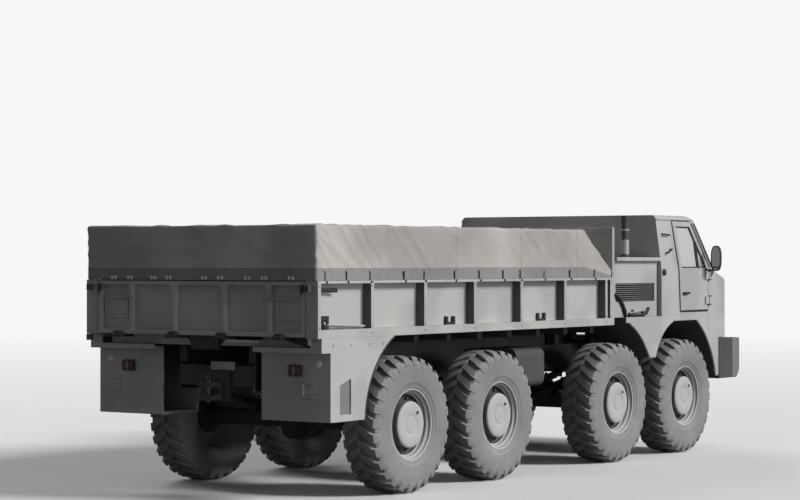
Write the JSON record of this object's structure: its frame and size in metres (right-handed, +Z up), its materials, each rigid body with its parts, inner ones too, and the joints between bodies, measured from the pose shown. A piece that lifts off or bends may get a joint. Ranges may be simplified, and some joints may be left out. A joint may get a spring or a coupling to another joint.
{
  "type": "military cargo truck",
  "caption": "Heavy all-wheel-drive cargo truck with forward cab, engine box behind it, dropside bed under a canvas tilt, steered front wheels, opening doors and a drop tailgate",
  "frame": {"origin": "on the ground under the middle of the truck's box", "axes": "+X is forward, +Y is the truck's left side, +Z is up"},
  "size_m": [9.03, 3.3, 2.84],
  "materials": {
    "body_paint": "matt, dusty",
    "wheel_paint": "matt, dusty",
    "running_gear": "matt, dusty",
    "engine": "rough",
    "tyre": "dusty rubber",
    "canvas": "coated canvas",
    "glass": "clear",
    "dark_trim": "matt",
    "seat_cloth": "plain weave",
    "lamp": "ribbed lens"
  },
  "bodies": {
    "truck": {"axles": "running_gear", "leaf_springs": "running_gear", "chassis_frame": "running_gear", "drive_shafts": "running_gear", "transfer_case": "running_gear", "engine_block": "engine", "engine_cover": "body_paint", "fuel_tanks": "running_gear", "cab_shell": "body_paint", "cab_glass": "glass", "seats": "seat_cloth", "dashboard": "dark_trim", "steering_wheel": "dark_trim", "bumper": "running_gear", "headlamps": "lamp", "front_grille": "dark_trim", "front_fenders": "body_paint", "bed_floor": "running_gear", "bed_sides": "body_paint", "headboard": "body_paint", "rear_mudguards": "body_paint", "tarp_bows": "running_gear", "tarp": "canvas", "tail_lamps": "lamp", "tow_hitch": "running_gear"},
    "wheel_1_left": {"tyre_1_left": "tyre", "wheel_1_left": "wheel_paint"},
    "knuckle_1_left": {"knuckle_1_left": "running_gear"},
    "wheel_1_right": {"tyre_1_right": "tyre", "wheel_1_right": "wheel_paint"},
    "knuckle_1_right": {"knuckle_1_right": "running_gear"},
    "wheel_2_left": {"tyre_2_left": "tyre", "wheel_2_left": "wheel_paint"},
    "knuckle_2_left": {"knuckle_2_left": "running_gear"},
    "wheel_2_right": {"tyre_2_right": "tyre", "wheel_2_right": "wheel_paint"},
    "knuckle_2_right": {"knuckle_2_right": "running_gear"},
    "wheel_3_left": {"tyre_3_left": "tyre", "wheel_3_left": "wheel_paint"},
    "wheel_3_right": {"tyre_3_right": "tyre", "wheel_3_right": "wheel_paint"},
    "wheel_4_left": {"tyre_4_left": "tyre", "wheel_4_left": "wheel_paint"},
    "wheel_4_right": {"tyre_4_right": "tyre", "wheel_4_right": "wheel_paint"},
    "door_left": {"door_left": "body_paint", "door_glass_left": "glass", "mirror_left": "dark_trim"},
    "door_right": {"door_right": "body_paint", "door_glass_right": "glass", "mirror_right": "dark_trim"},
    "tailgate": {"tailgate": "body_paint"}
  },
  "joints": [
    {"name": "steer_1_left", "type": "hinge", "parent": "truck", "child": "knuckle_1_left", "pos_m": [3.005, 1.1, 0.68], "axis": [0, 0, 1], "range_deg": [-30, 30]},
    {"name": "spin_1_left", "type": "hinge", "parent": "knuckle_1_left", "child": "wheel_1_left", "pos_m": [3.005, 1.225, 0.68], "axis": [0, 1, 0], "continuous": true},
    {"name": "steer_1_right", "type": "hinge", "parent": "truck", "child": "knuckle_1_right", "pos_m": [3.005, -1.1, 0.68], "axis": [0, 0, 1], "range_deg": [-30, 30]},
    {"name": "spin_1_right", "type": "hinge", "parent": "knuckle_1_right", "child": "wheel_1_right", "pos_m": [3.005, -1.225, 0.68], "axis": [0, 1, 0], "continuous": true},
    {"name": "steer_2_left", "type": "hinge", "parent": "truck", "child": "knuckle_2_left", "pos_m": [1.355, 1.1, 0.68], "axis": [0, 0, 1], "range_deg": [-20, 20]},
    {"name": "spin_2_left", "type": "hinge", "parent": "knuckle_2_left", "child": "wheel_2_left", "pos_m": [1.355, 1.225, 0.68], "axis": [0, 1, 0], "continuous": true},
    {"name": "steer_2_right", "type": "hinge", "parent": "truck", "child": "knuckle_2_right", "pos_m": [1.355, -1.1, 0.68], "axis": [0, 0, 1], "range_deg": [-20, 20]},
    {"name": "spin_2_right", "type": "hinge", "parent": "knuckle_2_right", "child": "wheel_2_right", "pos_m": [1.355, -1.225, 0.68], "axis": [0, 1, 0], "continuous": true},
    {"name": "spin_3_left", "type": "hinge", "parent": "truck", "child": "wheel_3_left", "pos_m": [-1.195, 1.225, 0.68], "axis": [0, 1, 0], "continuous": true},
    {"name": "spin_3_right", "type": "hinge", "parent": "truck", "child": "wheel_3_right", "pos_m": [-1.195, -1.225, 0.68], "axis": [0, 1, 0], "continuous": true},
    {"name": "spin_4_left", "type": "hinge", "parent": "truck", "child": "wheel_4_left", "pos_m": [-2.845, 1.225, 0.68], "axis": [0, 1, 0], "continuous": true},
    {"name": "spin_4_right", "type": "hinge", "parent": "truck", "child": "wheel_4_right", "pos_m": [-2.845, -1.225, 0.68], "axis": [0, 1, 0], "continuous": true},
    {"name": "door_left_swing", "type": "hinge", "parent": "truck", "child": "door_left", "pos_m": [3.566, 1.457, 2], "axis": [0, 0, -1], "range_deg": [0, 70]},
    {"name": "door_right_swing", "type": "hinge", "parent": "truck", "child": "door_right", "pos_m": [3.566, -1.457, 2], "axis": [0, 0, 1], "range_deg": [0, 70]},
    {"name": "tailgate_drop", "type": "hinge", "parent": "truck", "child": "tailgate", "pos_m": [-4.495, 0, 1.57], "axis": [0, -1, 0], "range_deg": [0, 90]}
  ],
  "couplings": [
    {"joint": "steer_1_right", "follows": "steer_1_left", "ratio": 1},
    {"joint": "steer_2_left", "follows": "steer_1_left", "ratio": 0.66},
    {"joint": "steer_2_right", "follows": "steer_1_left", "ratio": 0.66}
  ]
}
